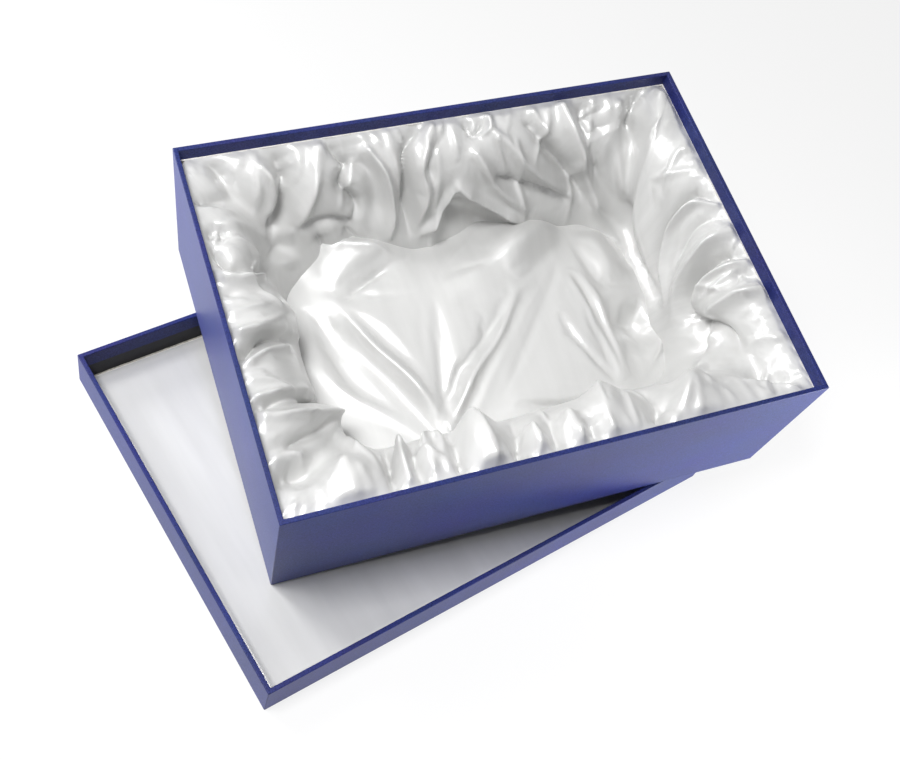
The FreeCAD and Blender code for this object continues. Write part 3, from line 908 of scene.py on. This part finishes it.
# %% Part the strip into the four side satins
SIDE_FLAT = {"front": (0.38, 0.11), "right": (0.27, 0.10), "back": (0.38, 0.11), "left": (0.27, 0.10)}

cuts = np.cumsum([count + CORNER_COLUMNS for count in straight_counts]) - CORNER_COLUMNS / 2
strip_column = strip_cell // ROWS
for _ in SIDES:
    satin_strip.data.materials.append(finishes["satin"])
face_columns = [strip_column[list(polygon.vertices)].max() for polygon in satin_strip.data.polygons]
face_sides = np.searchsorted(cuts, face_columns) % len(SIDES)
satin_strip.data.polygons.foreach_set("material_index", face_sides.astype(np.int32))
round_cells(satin_strip)
whole_normals = [vertex.normal.copy() for vertex in satin_strip.data.vertices]
satin_strip.data.normals_split_custom_set_from_vertices(whole_normals)
in_edit_mode(bpy.ops.mesh.separate, type="MATERIAL")
side_parts = list(bpy.context.selected_objects)
print("parts of the strip:", len(side_parts))

# %% [markdown]
# Each part is named for the wall that it lies nearest to. It rides with the tray and stands for that
# wall's satin solid; its area is printed beside the size it has when it is laid flat.

# %% Hand over the side satins


def hand_over(piece, body, node):
    """Tie a finished piece to its body, and hide the solid that it stands for."""
    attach(piece, body)
    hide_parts(node)


def nearest_side(part):
    """The wall that a part of the strip lies nearest to."""
    middle = to_tray(vertex_array(part).mean(0))
    off_centre = middle / np.array([LENGTH, WIDTH, HEIGHT]) - 0.5
    if abs(off_centre[0]) > abs(off_centre[1]):
        return "right" if off_centre[0] > 0 else "left"
    return "back" if off_centre[1] > 0 else "front"


for part in side_parts:
    side = nearest_side(part)
    part.name = side + "_gathered_satin"
    area = sum(polygon.area for polygon in part.data.polygons)
    print(part.name, "area", round(area, 4), "of", round(np.prod(SIDE_FLAT[side]), 4))
    hand_over(part, "tray", side + "_satin")

# %% [markdown]
# The floor of the tray is a padded card under a loose satin sheet, tucked in all round below the side
# puffs. It lies in a few long folds that run together towards the front, between broad swells along the
# back. They are traced and pressed in the same way, on a gently crowned plate.

# %% Folds of the floor satin
FLOOR_REACH = (22.0, 320.0, 20.0, 228.0)  # left, right, front and back edge of the sheet
FLOOR_CELL = 2.4
FLOOR_LEVEL = 16.0
FLOOR_CROWN = 6.0
CROWN_HALF = (150.0, 105.0)
FOLD_LEVEL = 20.0  # level at which the fold lines are drawn
FLOOR_FOLDS = (
    # points as (along, across) in mm, depth, width
    ([(84, 178), (100, 133), (119, 101), (134, 60)], -11, 9),
    ([(77, 170), (78, 144), (83, 114), (104, 87)], 8, 14),
    ([(90, 167), (108, 177), (131, 185)], 6, 8),
    ([(77, 210), (104, 203), (136, 190)], -6, 8),
    ([(58, 208), (100, 204), (150, 192)], -18, 44),
    ([(275, 205), (235, 188), (195, 168)], -12, 36),
    ([(216, 158), (186, 119), (159, 96), (134, 62)], -11, 7),
    ([(202, 142), (178, 117), (152, 97), (136, 79)], 7, 7),
    ([(262, 203), (229, 185), (190, 165), (149, 154)], -11, 16),
    ([(250, 172), (253, 135), (257, 99), (262, 60)], -4, 5),
    ([(260, 160), (265, 120), (265, 60)], -4, 5),
    ([(230, 136), (238, 100), (257, 68)], 4, 8),
    ([(275, 201), (284, 173), (283, 138)], -11, 18),
    ([(284, 130), (290, 110), (302, 98)], 17, 15),
    ([(292, 104), (303, 104), (302, 91), (290, 80)], -6, 6),
    ([(170, 74), (207, 62), (240, 57), (273, 60)], 6, 8),
)

low_x, high_x, low_y, high_y = FLOOR_REACH
floor_x = np.linspace(low_x, high_x, int((high_x - low_x) / FLOOR_CELL))
floor_y = np.linspace(low_y, high_y, int((high_y - low_y) / FLOOR_CELL))
grid_x, grid_y = np.meshgrid(floor_x, floor_y, indexing="ij")
crown_x = 1 - ((grid_x - LENGTH / 2) / CROWN_HALF[0]) ** 2
crown_y = 1 - ((grid_y - WIDTH / 2) / CROWN_HALF[1]) ** 2
plate = np.stack([grid_x, grid_y, FLOOR_LEVEL + FLOOR_CROWN * (crown_x * crown_y)], -1)
plate_points = plate.reshape(-1, 3)
floor_lines = [(smooth_line([(x, y, FOLD_LEVEL) for x, y in points]), depth, width)
               for points, depth, width in FLOOR_FOLDS]
floor_height = press_folds(plate_points, plate.shape[:2], floor_lines, FLOOR_ENDS, closed=False)
floor_lift = np.array([0.0, 0.0, 1.0]) * floor_height[:, None]
print("floor grid:", plate.shape[:2], "folds:", len(FLOOR_FOLDS))

# %% [markdown]
# The sheet settles with its whole edge held under the side puffs and a little more cloth than the plate
# needs.

# %% Floor satin
FLOOR_SLACK = 1.06
FLOOR_FLAT = (330.0, 232.0)

floor_folded = (plate_points + floor_lift).reshape(plate.shape)
floor_satin, floor_cell = sheet_object("floor_satin_sheet", floor_folded, FLOOR_FLAT, closed=False)
edge = np.zeros(plate.shape[:2], bool)
edge[[0, -1], :] = True
edge[:, [0, -1]] = True
held = np.where(edge.ravel()[floor_cell], 1.0, 0.0)
settle_cloth(floor_satin, rest_shape(plate_points, floor_lift, floor_cell, FLOOR_SLACK), held)
keep_inside(floor_satin, np.zeros(len(floor_cell), bool))
round_cells(floor_satin)
floor_satin.data.materials.append(finishes["satin"])
hand_over(floor_satin, "tray", "floor_satin")

# %% [markdown]
# Wadding: each side card carries a roll of polyester fleece, and the floor card a flat pad. They are
# hidden under the satin, yet they are real pieces. A cube is cut into small faces, and each vertex is
# moved to its place on a rounded form; this is quicker than a simulation and good enough for what no one
# sees.

# %% A block of wadding, pressed to shape
WAD_CUTS = 9
WAD_SMOOTH_ANGLE = 50


def pressed_block(name, shape):
    """A block of small faces whose unit places (0 to 1 each way) are moved by shape to their place."""
    deselect()
    bpy.ops.mesh.primitive_cube_add(size=1, location=(0, 0, 0))
    obj = bpy.context.object
    obj.name = name
    in_edit_mode(bpy.ops.mesh.subdivide, number_cuts=WAD_CUTS)
    u, v, w = (vertex_array(obj) + 0.5).T
    move_vertices(obj, shape(u, v, w))
    in_edit_mode(bpy.ops.mesh.normals_make_consistent, inside=False)
    bpy.ops.object.shade_smooth_by_angle(angle=radians(WAD_SMOOTH_ANGLE))
    obj.data.materials.append(finishes["polyester_wadding"])
    return obj


print("a pressed block has", 6 * (WAD_CUTS + 1) ** 2, "faces")

# %% [markdown]
# A side roll is thick at its foot, thins out upwards and tapers towards its two ends, so that the corners
# stay free for the folds.

# %% Side wadding
WAD_SHARE = 0.42  # how much of the roll's depth the wadding fills, so that no crease meets it
WAD_END_GAP = 30.0  # from the next wall's card to the end of the roll
WAD_CARD_GAP = 0.3
WAD_FOOT = 14.0
WAD_RISE = 62.0
WAD_END_DEPTH = 0.45  # depth and height that are left at the ends, as shares
WAD_END_RISE = 0.6


def side_wadding(side):
    """A roll of wadding along one liner card."""
    margin = WALL + WAD_END_GAP
    depth = ROLL_DEPTH[side] * WAD_SHARE

    def shape(u, v, w):
        along = margin + u * (SPANS[side] - 2 * margin)
        full = (1 - np.abs(2 * u - 1) ** 6) ** 0.5
        belly = np.sqrt(np.clip(1 - (0.15 + 0.85 * w) ** 2.5, 0.02, 1))
        inset = WALL + WAD_CARD_GAP + v * depth * belly * (WAD_END_DEPTH + (1 - WAD_END_DEPTH) * full)
        level = WAD_FOOT + w * WAD_RISE * (WAD_END_RISE + (1 - WAD_END_RISE) * full)
        return to_frame(np.stack([*wall_place(side, along, inset), level], -1))

    return pressed_block(side + "_wadding_roll", shape)


for side in SIDES:
    pad = side_wadding(side)
    hand_over(pad, "tray", side + "_wadding")
    print(pad.name, "depth in mm:", round(ROLL_DEPTH[side] * WAD_SHARE, 1))

# %% [markdown]
# The floor pad is a thin flat block with a slight dome, well inside the sheet that covers it.

# %% Floor wadding
PAD_REACH = (56.0, LENGTH - 50.0, 56.0, WIDTH - 52.0)  # left, right, front and back edge
PAD_LEVEL = 4.5
PAD_EDGE = 2.0
PAD_DOME = 4.0


def floor_pad_shape(u, v, w):
    left, right, front, back = PAD_REACH
    dome = (1 - (2 * u - 1) ** 4) * (1 - (2 * v - 1) ** 4)
    level = PAD_LEVEL + w * (PAD_EDGE + PAD_DOME * dome)
    return to_frame(np.stack([left + u * (right - left), front + v * (back - front), level], -1))


floor_pad = pressed_block("floor_wadding_pad", floor_pad_shape)
hand_over(floor_pad, "tray", "floor_wadding")
print(floor_pad.name, "thickness in mm:", PAD_EDGE + PAD_DOME)

# %% [markdown]
# The lid's panel is a card with a thin wadding under tightly drawn satin, glued in all round. The lid
# lies flat, so its own directions are those of its top board, with straight up as the third. The wadding
# is a pressed block again, a little smaller than the solid that it stands for.

# %% Lid wadding
LID_PAD_INSET = 3 * MM
LID_ROOM = 0.6 * MM  # room for the satin over the wadding and round the panel
LID_PAD_EDGE = 0.45  # thickness at the edge, and what the dome adds, as shares
LID_PAD_DOME = 0.5

lid_axes = slab_axes("lid_top_board")
lid_axes[2] = (0.0, 0.0, 1.0)


def lid_extent(node):
    """Lowest and highest corner of a solid in the lid's own directions, in metres."""
    places = vertex_array(nodes[node]) @ lid_axes.T
    return places.min(0), places.max(0)


pad_low, pad_high = lid_extent("lid_pad_wadding")


def lid_pad_shape(u, v, w):
    low, high = pad_low + LID_PAD_INSET, pad_high - LID_PAD_INSET
    dome = (1 - (2 * u - 1) ** 8) * (1 - (2 * v - 1) ** 8)
    thickness = (pad_high[2] - pad_low[2] - LID_ROOM) * (LID_PAD_EDGE + LID_PAD_DOME * dome)
    place = [low[0] + u * (high[0] - low[0]), low[1] + v * (high[1] - low[1]), pad_low[2] + w * thickness]
    return np.stack(place, -1) @ lid_axes


lid_wadding = pressed_block("lid_wadding_pad", lid_pad_shape)
hand_over(lid_wadding, "lid", "lid_pad_wadding")
print(lid_wadding.name, "spans in mm:", np.round((pad_high - pad_low) / MM, 1))

# %% [markdown]
# The panel's satin is drawn tight, so it needs no simulation: a grid is laid over the panel and drawn
# straight down on it with a shrink-wrap. Its edge is then turned down all round, as the real cloth is
# glued under the card.

# %% Draw the lid satin down on its panel
LID_CELL = 2.5 * MM
LID_START = 10 * MM  # height over the panel from which the grid is drawn down
LID_EDGE_REACH = 1e-6

satin_low, satin_high = lid_extent("lid_pad_satin")
lid_spans = satin_high - satin_low
lid_counts = [int(span / LID_CELL) for span in lid_spans[:2]]
deselect()
bpy.ops.mesh.primitive_grid_add(x_subdivisions=lid_counts[0], y_subdivisions=lid_counts[1], size=1)
lid_satin = bpy.context.object
lid_satin.name = "lid_drawn_satin"
unit = vertex_array(lid_satin)
edge_reach = np.minimum(0.5 - np.abs(unit[:, 0]), 0.5 - np.abs(unit[:, 1]))
start = (satin_low + satin_high) / 2 + unit * (lid_spans - LID_ROOM)
start[:, 2] = satin_high[2] + LID_START
move_vertices(lid_satin, start @ lid_axes)
flat_uv(lid_satin, lid_spans[:2] / MM)
nodes["lid_pad_satin"].hide_viewport = False
draw_down = lid_satin.modifiers.new("drawn_down", "SHRINKWRAP")
draw_down.target = nodes["lid_pad_satin"]
draw_down.wrap_method = "PROJECT"
draw_down.use_project_z = True
draw_down.use_negative_direction = True
draw_down.use_positive_direction = False
bpy.ops.object.modifier_apply(modifier=draw_down.name)
drawn = vertex_array(lid_satin) @ lid_axes.T
missed = drawn[:, 2] > satin_high[2] + LID_START / 2
turned_down = (edge_reach < LID_EDGE_REACH) | missed
drawn[turned_down, 2] = satin_low[2]
print("lid satin spans in mm:", np.round(lid_spans / MM, 1), "turned down:", int(turned_down.sum()))

# %% [markdown]
# Drawn satin is never quite flat. A few long soft waves, half a millimetre deep at most, are left in it,
# and fade towards the glued edge.

# %% Lid satin
LID_WAVE = 0.25 * MM
WAVE_ALONG = 0.021
WAVE_ACROSS = 0.034
WAVE_WANDER = 0.05
WAVE_FADE = 6  # the waves reach their full depth at a sixth of the way in

wander = 2 * np.sin(drawn[:, 1] / WAVE_WANDER)
waves = np.sin(drawn[:, 0] / WAVE_ALONG + wander) * np.sin(drawn[:, 1] / WAVE_ACROSS + 1.0)
drawn[:, 2] += LID_WAVE * (waves - 1) * np.clip(edge_reach * WAVE_FADE, 0, 1)
move_vertices(lid_satin, drawn @ lid_axes)
bpy.ops.object.shade_smooth()
lid_satin.data.materials.append(finishes["satin"])
hand_over(lid_satin, "lid", "lid_pad_satin")
print("lid satin vertices:", len(drawn))
